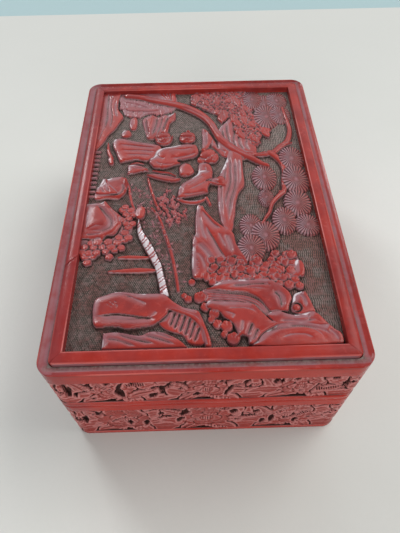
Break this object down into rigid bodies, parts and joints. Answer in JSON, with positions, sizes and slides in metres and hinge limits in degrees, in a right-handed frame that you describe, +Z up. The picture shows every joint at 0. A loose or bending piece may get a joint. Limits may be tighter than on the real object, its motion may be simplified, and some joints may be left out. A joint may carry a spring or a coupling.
{
  "type": "carved lacquer box",
  "caption": "Rectangular carved cinnabar lacquer box: a lift-off lid with a framed landscape in relief over a tray base with floral scroll bands.",
  "frame": {"origin": "centre of the underside, on the surface the box stands on", "axes": "+Z up; +Y away from the viewer of the picture, along the box's length; +X to the right across its width"},
  "size_m": [0.104, 0.152, 0.0595],
  "materials": {
    "plain_lacquer": "rubbed cinnabar red lacquer, satin to glossy, smooth",
    "carved_lacquer": "deep-carved cinnabar red lacquer, rubbed tops, dull dirt-toned ground",
    "black_lacquer": "thin black lacquer, satin",
    "wood_core": "bare dry softwood board"
  },
  "bodies": {
    "base": {"base_floor_board": "wood_core", "base_wall_front": "wood_core", "base_wall_back": "wood_core", "base_wall_left": "wood_core", "base_wall_right": "wood_core", "base_lip_front": "black_lacquer", "base_lip_back": "black_lacquer", "base_lip_left": "black_lacquer", "base_lip_right": "black_lacquer", "base_foot_rim": "plain_lacquer", "base_upper_rim": "plain_lacquer", "base_corner_post_back_right": "plain_lacquer", "base_corner_post_back_left": "plain_lacquer", "base_corner_post_front_left": "plain_lacquer", "base_corner_post_front_right": "plain_lacquer", "base_carved_panel_front": "carved_lacquer", "base_carved_panel_back": "carved_lacquer", "base_carved_panel_left": "carved_lacquer", "base_carved_panel_right": "carved_lacquer", "base_floor_lining": "black_lacquer", "base_underside": "black_lacquer"},
    "lid": {"lid_top_board": "wood_core", "lid_wall_front": "wood_core", "lid_wall_back": "wood_core", "lid_wall_left": "wood_core", "lid_wall_right": "wood_core", "lid_lower_rim": "plain_lacquer", "lid_shoulder_rim": "plain_lacquer", "lid_corner_post_back_right": "plain_lacquer", "lid_corner_post_back_left": "plain_lacquer", "lid_corner_post_front_left": "plain_lacquer", "lid_corner_post_front_right": "plain_lacquer", "lid_carved_panel_front": "carved_lacquer", "lid_carved_panel_back": "carved_lacquer", "lid_carved_panel_left": "carved_lacquer", "lid_carved_panel_right": "carved_lacquer", "lid_moulding_front": "plain_lacquer", "lid_moulding_back": "plain_lacquer", "lid_moulding_left": "plain_lacquer", "lid_moulding_right": "plain_lacquer", "lid_scene_panel": "carved_lacquer", "lid_ceiling_lining": "black_lacquer"}
  },
  "joints": [
    {"name": "lid_lift", "type": "slide", "parent": "base", "child": "lid", "axis": [0, 0, 1], "range_m": [0, 0.06]}
  ]
}
